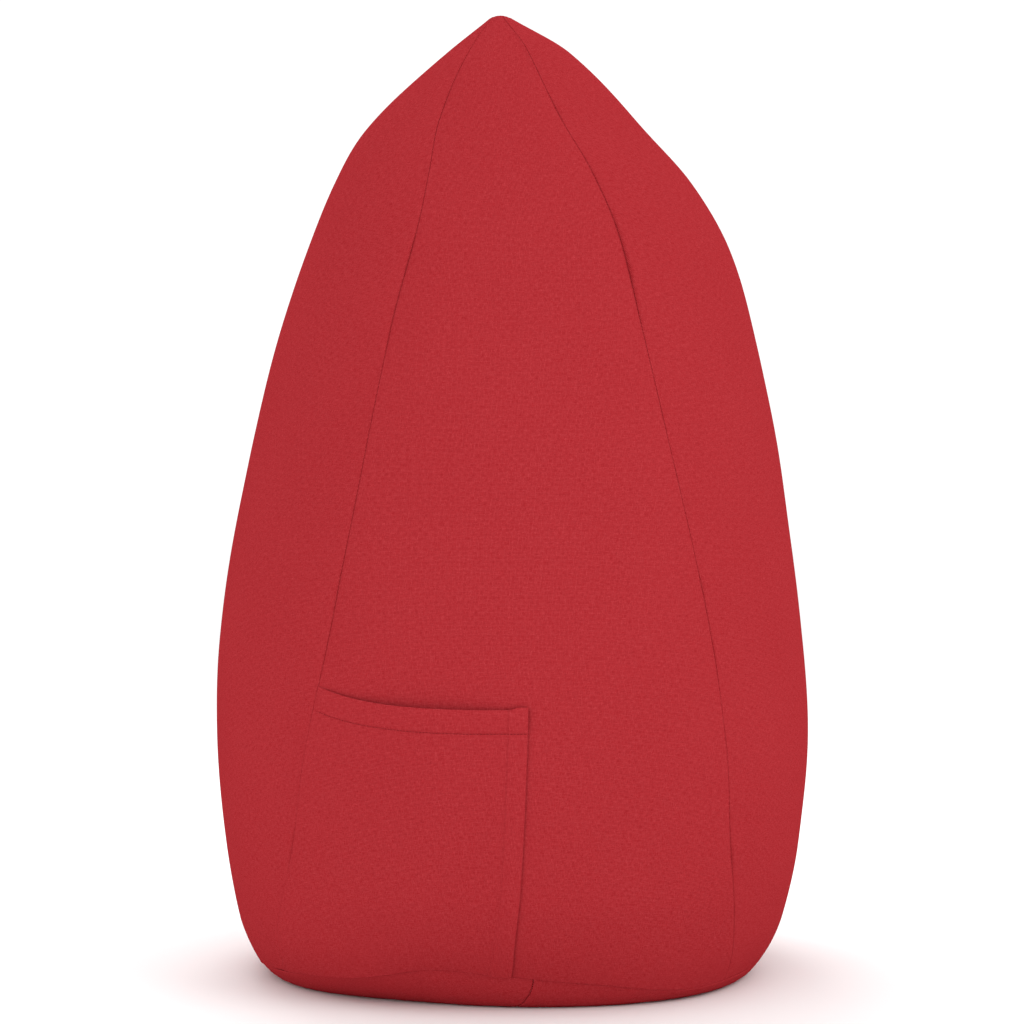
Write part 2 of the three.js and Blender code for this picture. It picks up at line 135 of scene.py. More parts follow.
def node_box(node):
    """The corners of a CAD node, in millimetres of the shape tables."""
    low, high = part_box(node)
    return (np.array(low) - SHIFT) / MM, (np.array(high) - SHIFT) / MM


def add_object(name, data):
    made = bpy.data.objects.new(name, data)
    bpy.context.scene.collection.objects.link(made)
    return made


def place_camera():
    data = bpy.data.cameras.new("camera")
    data.lens = CAMERA_LENS
    data.sensor_width = 36
    camera = add_object("camera", data)
    camera.location = (SHIFT[0], SHIFT[1] - CAMERA_DISTANCE, CAMERA_HEIGHT)
    camera.rotation_euler = (math.pi / 2, 0, 0)
    bpy.context.scene.camera = camera


place_camera()


# ---- The measured surface ----

def value_at(pairs, place):
    """A smooth curve through [place, value] pairs."""
    x, y = np.array(pairs, float).T
    index = np.arange(len(x))
    before = np.maximum(index - 1, 0)
    after = np.minimum(index + 1, len(x) - 1)
    slope = (y[after] - y[before]) / (x[after] - x[before])
    i = np.clip(np.searchsorted(x, place, side="right") - 1, 0, len(x) - 2)
    length = x[i + 1] - x[i]
    t = (place - x[i]) / length
    bend = (1 - t) * t * length * ((1 - t) * slope[i] - t * slope[i + 1])
    return y[i] + (y[i + 1] - y[i]) * t * t * (3 - 2 * t) + bend


def joined(*values):
    """Arrays side by side along a new last axis, such as coordinates made into points."""
    return np.stack(np.broadcast_arrays(*values), axis=-1)


def smoothstep(value, low, high):
    t = np.clip((value - low) / (high - low), 0, 1)
    return t * t * (3 - 2 * t)


def signed_power(value, power):
    return np.sign(value) * np.abs(value) ** power


def outline_at(height):
    """Middle and half size of the level outline at a height."""
    reaches = (LEFT_REACH, RIGHT_REACH, REAR_REACH, SEAT_REACH)
    left, right, rear, seat = (value_at(reach, height) for reach in reaches)
    return (right - left) / 2, (seat - rear) / 2, (right + left) / 2, (seat + rear) / 2


def bump_at(angle, centre, spread, rise):
    """A smooth bump in something that runs round the bag. centre and spread are degrees."""
    away = (np.degrees(angle) - centre + 180) % 360 - 180
    return rise * np.exp(-(away / spread) ** 2)


def rim_wave(angle):
    swells = sum(bump_at(angle, *swell) for swell in RIM_SWELLS)
    return swells - RIM_WAVE * np.cos(2 * angle)


def wall_point(angle, height, dip=0):
    middle_x, middle_y, half_x, half_y = outline_at(height)
    fade = np.clip(1 - (height - RIM_HEIGHT) / RIM_WAVE_REACH, 0, 1) ** 2
    return joined(
        middle_x + (half_x - dip) * signed_power(np.cos(angle), 2 / PLAN_POWER),
        middle_y + (half_y - dip) * signed_power(np.sin(angle), 2 / PLAN_POWER),
        height + rim_wave(angle) * fade,
    )


def seam_angle(index, height):
    _, centre, side, spread = SEAMS[index % len(SEAMS)]
    return np.radians(centre + side * value_at(spread, height) + 360 * (index // len(SEAMS)))


def cover_angle(around, height):
    """The angle at a place counted round the bag in panels: 0 is the rear-left seam, 2.5 is mid-seat."""
    around, height = np.broadcast_arrays(around, height)
    angle = np.zeros(around.shape)
    panel = np.floor(around).astype(int)
    for i in np.unique(panel):
        here = panel == i
        across = around[here] - i
        centre = math.radians(PANELS[i % len(PANELS)][1] + 360 * (i // len(PANELS)))
        start = seam_angle(int(i), height[here])
        end = seam_angle(int(i) + 1, height[here])
        first = start + (centre - start) * 2 * across
        second = centre + (end - centre) * (2 * across - 1)
        angle[here] = np.where(across < 0.5, first, second)
    return angle


def cover_point(around, height):
    """The measured outer face of the cover."""
    across = around - np.floor(around)
    up = np.clip((height - RIM_HEIGHT) / (PANEL_TOP - RIM_HEIGHT), 0, 1)
    fade = smoothstep(up, 0, DIP_FADE[0]) * (1 - smoothstep(up, 1 - DIP_FADE[1], 1))
    dip = SEAM_DIP * fade * np.abs(2 * across - 1) ** DIP_SHARPNESS
    return wall_point(cover_angle(around, height), height, dip)


def arc_runs(points):
    """Distances along lines of points, which lie along the last axis but one."""
    steps = np.linalg.norm(np.diff(points, axis=-2), axis=-1)
    return np.concatenate([np.zeros(steps.shape[:-1] + (1,)), np.cumsum(steps, axis=-1)], axis=-1)


def unit(vectors):
    return vectors / np.maximum(np.linalg.norm(vectors, axis=-1, keepdims=True), 1e-9)


def cover_normal(around, height):
    """Outward direction of the level outline and slope, leaving out the dips at the seams."""
    turn, rise = 1e-3, 0.5
    angle = cover_angle(around, height)
    along_angle = wall_point(angle + turn, height) - wall_point(angle - turn, height)
    along_height = wall_point(angle, height + rise) - wall_point(angle, height - rise)
    return unit(np.cross(along_angle, along_height))


# ---- How the cloth lies on it: soft unevenness, puckers at the seams, and what the cloth settles to ----

random = np.random.default_rng(7)
WAVE_COUNT = 14
wave_directions = unit(random.normal(size=(WAVE_COUNT, 3)))
wave_lengths = random.uniform(80, 260, WAVE_COUNT)
wave_starts = random.uniform(0, 2 * math.pi, WAVE_COUNT)
UNEVENNESS = 0.32
UNEVEN_LENGTH = 170  # a wave of this length has the full height, and a longer one more

PUCKERS = [0.35, 1.7, 1.4, 1.7]  # height of the ripples on each panel
PUCKER_LENGTH = 69
PUCKER_DRIFT = 0.22  # how far, in ripples, they wander from an even spacing
PUCKER_DRIFT_LENGTH = 47
PUCKER_SWELL_LENGTH = 83  # pace at which they grow and shrink along the seam
PUCKER_REACH = 26  # distance over which they die out away from the seam
PUCKER_LOW_END = [60, 150]
PUCKER_HIGH_END = [980, 1030]
SEAM_HOLD = 4  # the cloth lies still this close to a seam


def unevenness(points):
    total = 0
    for direction, length, start in zip(wave_directions, wave_lengths, wave_starts):
        wave = np.sin(points @ direction * (2 * math.pi / length) + start)
        total = total + wave * length / UNEVEN_LENGTH
    return UNEVENNESS * total


def pucker(seam, distance, along, height):
    """Ripples across a seam, held flat on the seam itself and dying out away from it."""
    # The factors of seam only make each seam's ripples start at another place.
    phase = along / PUCKER_LENGTH + PUCKER_DRIFT * np.sin(along / PUCKER_DRIFT_LENGTH + 2.1 * seam)
    crest = np.sin(2 * math.pi * phase + 1.3 * seam)
    uneven = 0.65 + 0.35 * np.sin(along / PUCKER_SWELL_LENGTH + 1.7 * seam)
    ends = smoothstep(height, *PUCKER_LOW_END) * (1 - smoothstep(height, *PUCKER_HIGH_END))
    return crest * uneven * ends * np.exp(-distance / PUCKER_REACH)


settled_field = None  # settle_cover fills this in before the cover is made
FIELD_COLUMNS = 44  # on each panel
FIELD_ROWS = 112


def field_height(share):
    """Heights of the rows of the cloth that is simulated, evenly spaced along the back."""
    heights = np.linspace(RIM_HEIGHT, PANEL_TOP, 400)
    run = arc_runs(cover_point(0.5, heights))
    return np.interp(share * run[-1], run, heights)


field_heights = field_height(np.linspace(0, 1, FIELD_ROWS + 1))


def cubic_weights(t):
    return [
        ((2 - t) * t - 1) * t / 2,
        ((3 * t - 5) * t * t + 2) / 2,
        ((4 - 3 * t) * t + 1) * t / 2,
        (t - 1) * t * t / 2,
    ]


def settled(around, height):
    """How far out the simulated cloth lies, read smoothly off its grid."""
    if settled_field is None:
        return 0 * around
    rows, columns = settled_field.shape
    row = np.interp(height, field_heights, np.arange(rows))
    column = around * FIELD_COLUMNS
    row_from = np.floor(row).astype(int)
    column_from = np.floor(column).astype(int)
    total = 0
    for i, row_weight in enumerate(cubic_weights(row - row_from)):
        for j, column_weight in enumerate(cubic_weights(column - column_from)):
            at_row = np.clip(row_from + i - 1, 0, rows - 1)
            at_column = (column_from + j - 1) % columns
            total = total + row_weight * column_weight * settled_field[at_row, at_column]
    return total


# The cloth beside the seams is longer than the seams are, by the share that shrink_max gives.
SETTLE_CLOTH = {
    "quality": 6, "mass": 0.3, "bending_stiffness": 0.5, "use_pressure": True, "uniform_pressure_force": 4,
    "vertex_group_mass": "held", "vertex_group_shrink": "slack", "shrink_min": 0, "shrink_max": -0.045,
}
SLACK_REACH = 45  # distance over which the extra length gets less away from the seams
SETTLE_FRAMES = 20
PEAK_HELD = 1005  # the cloth above this height is tacked together
BLUR_STEPS = 60  # enough to leave out everything shorter than about a hand's width
SETTLE_LIMIT = 5


def blurred(field, steps):
    """A field averaged with its neighbours again and again. Its columns go round the bag."""
    for _ in range(steps):
        field = (np.roll(field, 1, axis=1) + field + np.roll(field, -1, axis=1)) / 3
        padded = np.concatenate([field[:1], field, field[-1:]])
        field = (padded[:-2] + field + padded[2:]) / 3
    return field


def settle_cover():
    """Lets the sewn cover settle over its filling, held at its seams, and reads how far out it lies.

    The bag keeps its measured size, so only what is shorter than a hand's width is kept.
    """
    columns = len(PANELS) * FIELD_COLUMNS
    around = np.arange(columns)[None, :] / FIELD_COLUMNS
    height = field_heights[:, None]
    start = cover_point(around, height)
    out = cover_normal(around, height)
    cover = make_mesh("settling_cover", start.reshape(-1, 3), grid_quads(*start.shape[:2], wrap=True))
    level = np.concatenate([start, start[:, :1]], axis=1)
    runs = arc_runs(level)
    seam_runs = runs[:, ::FIELD_COLUMNS]
    from_seam = np.min(np.abs(runs[:, :-1, None] - seam_runs[:, None, :]), axis=-1)
    held = (from_seam < 1e-6) | (height > PEAK_HELD) | (height < field_heights[1])
    pins = cover.vertex_groups.new(name="held")
    pins.add(np.flatnonzero(held).tolist(), 1.0, "REPLACE")
    slack = cover.vertex_groups.new(name="slack")
    for index, weight in enumerate(np.exp(-from_seam / SLACK_REACH).ravel()):
        slack.add([index], float(weight), "REPLACE")
    cloth = cover.modifiers.new("cloth", "CLOTH")
    for name, value in SETTLE_CLOTH.items():
        setattr(cloth.settings, name, value)
    cloth.settings.effector_weights.gravity = 0
    cloth.collision_settings.use_collision = False
    for step in range(1, SETTLE_FRAMES + 1):
        bpy.context.scene.frame_set(step)
    shaped = cover.evaluated_get(bpy.context.evaluated_depsgraph_get()).data
    places = np.zeros(start.size, np.float32)
    shaped.vertices.foreach_get("co", places)
    moved = (places.reshape(start.shape) - SHIFT) / MM - start
    outwards = (moved * out).sum(axis=-1)
    bpy.data.objects.remove(cover)
    bpy.context.scene.frame_set(1)
    return np.clip(outwards - blurred(outwards, BLUR_STEPS), -SETTLE_LIMIT, SETTLE_LIMIT)


def roll_depth(distance, radius=ROLL):
    """How deep cloth lies where it turns in to an edge that is this far away."""
    return radius - np.sqrt(np.maximum(radius ** 2 - np.maximum(radius - distance, 0) ** 2, 0))


def sample_table(table, row, column):
    """Reads a table between its entries."""
    row_from = np.clip(np.floor(row).astype(int), 0, table.shape[0] - 2)
    column_from = np.clip(np.floor(column).astype(int), 0, table.shape[1] - 2)
    across = column - column_from
    lower = table[row_from, column_from] * (1 - across) + table[row_from, column_from + 1] * across
    upper = table[row_from + 1, column_from] * (1 - across) + table[row_from + 1, column_from + 1] * across
    return lower + (upper - lower) * (row - row_from)


def turn_in():
    """Distances from a seam, as seen on the bag, of steps round the turn of the cloth in to it."""
    angles = np.linspace(0, math.pi / 2, ROLL_STEPS + 1)
    return SEAM_GAP + (ROLL - SEAM_GAP) * (1 - np.cos(angles))


def edge_steps(total):
    """The places next to an edge, drawn closer together where the panel is narrow."""
    edge = np.concatenate([turn_in(), EDGE_STEPS])
    return SEAM_GAP + (edge - SEAM_GAP) * min(1, total / (3 * edge[-1]))


def cell_count(total, cell):
    """How many cells fit between the places next to the two edges."""
    return max(2, round((total - 2 * edge_steps(total)[-1]) / cell))


def stations(total, count):
    """Places from one edge to the other, close together where the cloth turns in to its edges."""
    edge = edge_steps(total)
    middle = np.linspace(edge[-1], total - edge[-1], count + 1)[1:-1]
    return np.concatenate([edge, middle, total - edge[::-1]])


class Wall:
    """One upright panel. Places on it are distances: across from its first seam and along from the rim."""

    ROWS = 400
    COLUMNS = 128

    def __init__(self, index):
        self.index = index
        self.heights = np.linspace(RIM_HEIGHT, PANEL_TOP, self.ROWS + 1)
        self.runs = arc_runs(cover_point(index + 0.5, self.heights))
        self.length = self.runs[-1]
        shares = np.linspace(0, ALMOST_ONE, self.COLUMNS + 1)
        widths = arc_runs(cover_point(index + shares, self.heights[:, None]))
        self.totals = widths[:, -1]
        fractions = np.linspace(0, 1, self.COLUMNS + 1)
        self.fractions = widths / self.totals[:, None]
        self.shares = np.array([np.interp(fractions, row, shares) for row in self.fractions])

    def height(self, along):
        return np.interp(along, self.runs, self.heights)

    def along(self, height):
        return np.interp(height, self.heights, self.runs)

    def total(self, height):
        return np.interp(height, self.heights, self.totals)

    def row(self, height):
        return np.interp(height, self.heights, np.arange(self.ROWS + 1))

    def across(self, share, height):
        return sample_table(self.fractions, self.row(height), share * self.COLUMNS) * self.total(height)

    def lift(self, around, distance, far, along, height):
        """How far the cloth stands out from the measured surface. distance and far are to its two seams."""
        ripples = PUCKERS[self.index] * (
            pucker(self.index, distance, along, height)
            + pucker((self.index + 1) % len(SEAMS), far, along, height))
        hold = smoothstep(np.minimum(distance, far), 0, SEAM_HOLD)
        return hold * (ripples + settled(around, height) + unevenness(cover_point(around, height)))

    def surface(self, across, along, roll=ROLL, depth=0, loose=True):
        """Points of the cloth's outer face at distances across and along, and the direction out of it."""
        height = self.height(along)
        total = self.total(height)
        share = sample_table(self.shares, self.row(height), across / total * self.COLUMNS)
        around = self.index + np.clip(share, 0, ALMOST_ONE)
        far = total - across
        out = cover_normal(around, height)
        edge = np.minimum(np.minimum(across, far), np.minimum(along, self.length - along))
        lift = self.lift(around, across, far, along, height) if loose else 0
        return cover_point(around, height) + out * (lift - depth - roll_depth(edge, roll))[..., None], out

    def grid(self, cell=CELL):
        """Distances across and along for the whole panel, and the places of these points on its cloth.

        Every row has the same number of columns.
        """
        along = stations(self.length, cell_count(self.length, cell))
        totals = self.total(self.height(along))
        count = cell_count(totals.max(), cell)
        across = np.array([stations(total, count) for total in totals])
        along = along[:, None]
        return across, along, joined(across - totals[:, None] / 2, along)


walls = [Wall(index) for index in range(len(PANELS))]


# ---- Meshes ----

def grid_normals(points, wrap=False):
    along_rows = np.gradient(points, axis=0)
    if wrap:
        along_columns = np.roll(points, -1, axis=1) - np.roll(points, 1, axis=1)
    else:
        along_columns = np.gradient(points, axis=1)
    return unit(np.cross(along_columns, along_rows))


def grid_quads(rows, columns, start=0, wrap=False, flip=False):
    across = columns if wrap else columns - 1
    row, column = np.meshgrid(np.arange(rows - 1), np.arange(across), indexing="ij")
    following = (column + 1) % columns
    quads = joined(
        row * columns + column,
        row * columns + following,
        (row + 1) * columns + following,
        (row + 1) * columns + column,
    ).reshape(-1, 4) + start
    return quads[:, ::-1] if flip else quads


def strip_quads(first, second):
    """Quads between two matching lines of vertices."""
    return joined(first[:-1], first[1:], second[1:], second[:-1])


SHARP_ANGLE = 50


def make_mesh(name, points, quads, uv=None):
    """An object from quads and points in millimetres of the tables. uv places each point on the cloth."""
    mesh = bpy.data.meshes.new(name)
    mesh.vertices.add(len(points))
    mesh.vertices.foreach_set("co", (points * MM + SHIFT).astype(np.float32).ravel())
    mesh.loops.add(quads.size)
    mesh.loops.foreach_set("vertex_index", quads.astype(np.int32).ravel())
    mesh.polygons.add(len(quads))
    mesh.polygons.foreach_set("loop_start", np.arange(0, quads.size, quads.shape[1], dtype=np.int32))
    mesh.update(calc_edges=True)
    if uv is not None:
        layer = mesh.uv_layers.new(name="cut")
        layer.data.foreach_set("uv", (uv[quads.ravel()] * MM).astype(np.float32).ravel())
    mesh.shade_smooth()
    mesh.set_sharp_from_angle(angle=math.radians(SHARP_ANGLE))
    mesh.validate()
    return add_object(name, mesh)


def sheet_piece(name, outer, thickness, uv, wrap=False):
    """A closed sheet of cloth behind a grid of points on its outer face."""
    rows, columns = outer.shape[:2]
    inner = outer - grid_normals(outer, wrap) * np.asarray(thickness)[..., None]
    count = rows * columns
    index = np.arange(count).reshape(rows, columns)
    parts = [grid_quads(rows, columns, 0, wrap), grid_quads(rows, columns, count, wrap, flip=True)]
    if wrap:
        index = np.concatenate([index, index[:, :1]], axis=1)
    borders = [(index[0], True), (index[-1], False)]
    if not wrap:
        borders += [(index[:, 0], False), (index[:, -1], True)]
    for border, flip in borders:
        quads = strip_quads(border, border + count)
        parts.append(quads[:, ::-1] if flip else quads)
    points = np.concatenate([outer.reshape(-1, 3), inner.reshape(-1, 3)])
    places = np.concatenate([uv.reshape(-1, 2)] * 2)
    return make_mesh(name, points, np.concatenate(parts), places)


def finish_piece(piece, material, slot, *nodes):
    """Gives a piece its material and hides the CAD nodes it stands for. Every piece rides on the bag."""
    piece.data.materials.append(material)
    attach(piece, "bag")
    if nodes:
        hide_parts(*nodes)
    return piece


def cloth_piece(name, outer, thickness, uv, material, slot, node, wrap=False):
    return finish_piece(sheet_piece(name, outer, thickness, uv, wrap), material, slot, node)


# ---- Materials ----

def connect(tree, source, target):
    """Feeds a socket from another socket, or with a value."""
    if isinstance(source, bpy.types.NodeSocket):
        tree.links.new(source, target)
    else:
        target.default_value = source


def add_node(tree, kind, inputs=None, **settings):
    """A node with its settings, and with its inputs given as values or as the sockets that feed them."""
    made = tree.nodes.new(kind)
    for name, value in settings.items():
        setattr(made, name, value)
    for name, value in (inputs or {}).items():
        connect(tree, value, made.inputs[name])
    return made


def maths(tree, operation, *values):
    made = add_node(tree, "ShaderNodeMath", operation=operation)
    for socket, value in zip(made.inputs, values):
        connect(tree, value, socket)
    return made.outputs[0]


def new_material(name, roughness, **constants):
    material = bpy.data.materials.new(name)
    material.use_nodes = True
    tree = material.node_tree
    shader = tree.nodes["Principled BSDF"]
    shader.inputs["Roughness"].default_value = roughness
    for socket, value in constants.items():
        shader.inputs[socket.replace("_", " ")].default_value = value
    return material, tree, shader


def noise(tree, vector, scale, detail=2.0, roughness=0.5):
    made = add_node(
        tree, "ShaderNodeTexNoise",
        {"Vector": vector, "Scale": scale, "Detail": detail, "Roughness": roughness})
    return made.outputs["Fac"]


def stretched(tree, vector, scale):
    made = add_node(tree, "ShaderNodeMapping", {"Vector": vector, "Scale": scale})
    return made.outputs[0]


def ramp(tree, fac, stops):
    made = add_node(tree, "ShaderNodeValToRGB", {"Fac": fac})
    elements = made.color_ramp.elements
    for i, (place, color) in enumerate(stops):
        element = elements[i] if i < 2 else elements.new(place)
        element.position = place
        element.color = (*color, 1)
    return made.outputs["Color"]


WOVEN_ROUGHNESS = 0.95
YARN_ROUGHNESS = 0.12  # how far single yarns differ in it
# Height of the relief in metres, and how much of it comes from streaks and from raised threads.
WOVEN_RELIEF = 0.00012
STREAK_RELIEF = 0.9
RAISED_RELIEF = 0.6
# Waves for each metre across and along the cloth: yarns are long and thin, and blotches are wide.
WARP_SCALE = (1100, 200, 1)
WEFT_SCALE = (180, 1050, 1)
BLOTCH_SCALE = (9, 6, 1)
# How much the colour follows the unevenness of single yarns, of streaks, of raised threads and of blotches.
# The raised threads are painted shade: lighter on their crowns and darker in the hollows between them.
YARN_SHADE = 1.8
STREAK_SHADE = 0.7
RAISED_PAINTED_SHADE = 0.5
BLOTCH_SHADE = 0.05
MEAN_RAISED = 0.64  # the average over the cloth of how high its threads stand


def woven(name, dark, middle, light, thread, slub=0.26):
    """Plain-woven cloth, with painted shade between its threads. thread is the pitch of its threads in
    metres, slub how uneven they look.
    """
    material, tree, shader = new_material(name, WOVEN_ROUGHNESS, Specular_IOR_Level=0.0)
    place = add_node(tree, "ShaderNodeUVMap", uv_map="cut").outputs[0]
    split = add_node(tree, "ShaderNodeSeparateXYZ", {"Vector": place})
    across, along = (maths(tree, "DIVIDE", split.outputs[axis], thread) for axis in "XY")
    warp, weft = (
        maths(tree, "ABSOLUTE", maths(tree, "SINE", maths(tree, "MULTIPLY", place, math.pi)))
        for place in (across, along))
    crossing = maths(tree, "ADD", maths(tree, "FLOOR", across), maths(tree, "FLOOR", along))
    over = maths(tree, "ABSOLUTE", maths(tree, "MODULO", crossing, 2.0))

    def choose(when_under, when_over):
        mix = add_node(tree, "ShaderNodeMix", data_type="FLOAT")
        for socket, value in ((0, over), (2, when_under), (3, when_over)):
            connect(tree, value, mix.inputs[socket])
        return mix.outputs[0]

    # How high the thread on top stands: it drives the bump, and it also lightens the crowns and darkens the
    # hollows as painted shade.
    raised = choose(weft, warp)
    # Single yarns are light or dark for some millimetres, and some are thick enough to show as streaks.
    warp_yarn = noise(tree, stretched(tree, place, WARP_SCALE), 1, 1)
    weft_yarn = noise(tree, stretched(tree, place, WEFT_SCALE), 1, 1)
    yarn = choose(weft_yarn, warp_yarn)
    streaks = maths(tree, "MULTIPLY", maths(tree, "ADD", warp_yarn, weft_yarn), 0.5)
    blotch = noise(tree, stretched(tree, place, BLOTCH_SCALE), 1, 3, 0.55)
    shade = 0.5
    # The raised threads add painted shade here: lighter crowns and darker hollows between the threads.
    for pattern, mean, strength in (
            (yarn, 0.5, YARN_SHADE * slub),
            (streaks, 0.5, STREAK_SHADE * slub),
            (raised, MEAN_RAISED, RAISED_PAINTED_SHADE),
            (blotch, 0.5, BLOTCH_SHADE)):
        shade = maths(tree, "MULTIPLY_ADD", maths(tree, "SUBTRACT", pattern, mean), strength, shade)
    color = ramp(tree, shade, [(0.0, dark), (1.0, light), (0.5, middle)])
    connect(tree, color, shader.inputs["Base Color"])
    unevenly = maths(tree, "SUBTRACT", yarn, 0.5)
    rough = maths(tree, "MULTIPLY_ADD", unevenly, YARN_ROUGHNESS, WOVEN_ROUGHNESS)
    connect(tree, rough, shader.inputs["Roughness"])
    threads = maths(tree, "MULTIPLY", raised, RAISED_RELIEF)
    body = maths(tree, "MULTIPLY_ADD", streaks, STREAK_RELIEF, threads)
    bump = add_node(tree, "ShaderNodeBump", {"Height": body, "Strength": 0.5, "Distance": WOVEN_RELIEF})
    connect(tree, bump.outputs[0], shader.inputs["Normal"])
    return material


cover_cloth = woven(
    "cover_cloth", (0.15, 0.005, 0.008), (0.33, 0.0175, 0.0225), (0.54, 0.072, 0.082), thread=0.0013)
binding_cloth = woven(
    "binding_cloth", (0.12, 0.008, 0.012), (0.22, 0.016, 0.022), (0.34, 0.04, 0.05), thread=0.0006)
zip_cloth = woven(
    "zip_cloth", (0.10, 0.006, 0.010), (0.18, 0.013, 0.018), (0.26, 0.03, 0.04), thread=0.0005)
liner_cloth = woven(
    "liner_cloth", (0.52, 0.50, 0.46), (0.74, 0.72, 0.67), (0.88, 0.86, 0.82), thread=0.0004, slub=0.3)


def mottled(name, roughness, scale, dark, light, spread=0.2, **constants):
    """A material whose colour wavers between two. scale is in waves for each metre of the object."""
    material, tree, shader = new_material(name, roughness, **constants)
    place = add_node(tree, "ShaderNodeTexCoord").outputs["Object"]
    pattern = noise(tree, stretched(tree, place, scale), 1)
    color = ramp(tree, pattern, [(0.5 - spread, dark), (0.5 + spread, light)])
    connect(tree, color, shader.inputs["Base Color"])
    return material, tree, shader, pattern


def dull_metal():
    dark, light = (0.42, 0.42, 0.43), (0.62, 0.62, 0.63)
    material, tree, shader, brushed = mottled(
        "dull_metal", 0.38, (2500, 120, 2500), dark, light, Metallic=1.0)
    connect(tree, maths(tree, "MULTIPLY_ADD", brushed, 0.2, 0.28), shader.inputs["Roughness"])
    return material


def foam_beads():
    material, tree, shader = new_material("foam_beads", 0.75, Specular_IOR_Level=0.3)
    place = add_node(tree, "ShaderNodeTexCoord").outputs["Object"]
    cells = add_node(tree, "ShaderNodeTexVoronoi", {"Vector": place, "Scale": 240.0})
    # Each bead is painted lighter in its middle and darker towards its edges: painted shade in the crevices
    # between the beads.
    color = ramp(tree, cells.outputs["Distance"], [(0.1, (0.90, 0.90, 0.88)), (0.8, (0.55, 0.55, 0.53))])
    connect(tree, color, shader.inputs["Base Color"])
    gap = maths(tree, "SUBTRACT", 1.0, cells.outputs["Distance"])
    bump = add_node(tree, "ShaderNodeBump", {"Height": gap, "Strength": 0.8, "Distance": 0.002})
    connect(tree, bump.outputs[0], shader.inputs["Normal"])
    return material


thread_material = mottled(
    "sewing_thread", 0.8, (900, 900, 900), (0.13, 0.005, 0.008), (0.22, 0.012, 0.016), 0.3,
    Specular_IOR_Level=0.1)[0]
nylon_material = mottled(
    "nylon", 0.8, (300, 120, 300), (0.20, 0.010, 0.014), (0.30, 0.018, 0.024), Specular_IOR_Level=0.0)[0]
metal_material = dull_metal()
bead_material = foam_beads()


# ---- Cover: four walls ----

def wall_piece(wall):
    name = PANELS[wall.index][0]
    across, along, uv = wall.grid()
    outer, _ = wall.surface(across, along)
    piece = cloth_piece(f"{name}_cloth", outer, CLOTH, uv, cover_cloth, "cover_cloth", f"{name}_panel")


# ---- Cover: two base halves, meeting in the middle seam and the zip ----

BASE_CELL = 9
SLOT_HALF_WIDTH = 4.5
SLOT_CLEAR = 216  # half the length over which the slot has its full width
SLOT_ROLL = 1.2
BASE_SEAM_ROLL = 2.4
SLOT_EASE = 60  # distance from the slot over which the cloth makes way for it
SLOT_TAPER = 34  # length over which the slot closes to the plain seam
GROOVE_HEIGHT = 4  # the cloth over the zip stands this far off the floor
GROOVE_FLAT = 17
GROOVE_FOOT = 32
GROOVE_END = [18, 42]  # distances beyond the slot over which the groove runs out
SEAM_DRIFT = 20  # how far the middle seam wanders to the right where it meets the rim at the back
DRIFT_SPREAD = 0.5  # radians round the back over which it wanders
DRIFT_START = 0.84  # share of the reach where it starts to


def disc_place(across, along):
    """Spreads a square from -1 to 1 evenly over a disc: the share of its reach, and the angle."""
    x = across * np.sqrt(1 - along ** 2 / 2)
    y = along * np.sqrt(1 - across ** 2 / 2)
    return np.hypot(x, y), np.arctan2(y, x)


def base_point(share, angle, foot_share=FOOT_SHARE):
    """A point of the base, flat on the floor and then curling up to the rim."""
    middle_x, middle_y, _, _ = outline_at(RIM_HEIGHT)
    rim = wall_point(angle, RIM_HEIGHT)
    foot_share = foot_share - sum(bump_at(angle, *hollow) for hollow in FOOT_HOLLOWS)
    curl = np.clip((share - foot_share) / (1 - foot_share), 0, 1) ** RIM_CURVE
    return joined(
        middle_x * share ** 4 + (rim[..., 0] - middle_x) * share,
        middle_y + (rim[..., 1] - middle_y) * share,
        curl * rim[..., 2],
    )


def unrolled(points, column, row):
    """Places on a sheet of cloth: the distances along it from one column and one row of its points."""
    across = arc_runs(points)
    along = arc_runs(points.transpose(1, 0, 2)).T
    return joined(across - across[:, column, None], along - along[row])


def base_piece(name, side):
    """Half the base: rows run from the back to the seat, columns between the middle seam and the rim."""
    _, _, half_x, half_y = outline_at(RIM_HEIGHT)
    columns = stations(half_x, cell_count(half_x, BASE_CELL)) / half_x
    rows = stations(2 * half_y, cell_count(2 * half_y, BASE_CELL)) / half_y - 1
    across, along = np.meshgrid(columns[::-side], rows)
    share, angle = disc_place(side * across, along)
    from_rear = (angle + 1.5 * math.pi) % (2 * math.pi) - math.pi
    drift = SEAM_DRIFT / half_y * np.exp(-(from_rear / DRIFT_SPREAD) ** 2)
    points = base_point(share, angle + drift * smoothstep(share, DRIFT_START, 1))
    from_slot = np.abs(points[..., 1]) - SLOT_CLEAR
    slot = SLOT_HALF_WIDTH * (1 - smoothstep(from_slot, 0, SLOT_TAPER))
    from_seam = across * half_x
    points[..., 0] += side * slot * np.clip(1 - from_seam / SLOT_EASE, 0, 1)
    groove = GROOVE_HEIGHT * (1 - smoothstep(from_seam, GROOVE_FLAT, GROOVE_FOOT))
    groove = groove * (1 - smoothstep(from_slot, *GROOVE_END))
    points[..., 2] = np.maximum(points[..., 2], groove)
    seam_roll = SLOT_ROLL + (BASE_SEAM_ROLL - SLOT_ROLL) * smoothstep(from_slot, 0, SLOT_TAPER)
    turned = np.maximum(roll_depth(from_seam, seam_roll), roll_depth((1 - share) * half_x))
    outer = points - grid_normals(points) * turned[..., None]
    uv = unrolled(outer, 0 if side < 0 else -1, len(rows) // 2)
    piece = cloth_piece(
        f"base_cloth_{name}", outer, CLOTH, uv, cover_cloth, "cover_cloth", f"base_panel_{name}")


# ---- Cover: the four panel ends, gathered and tacked together at the peak ----

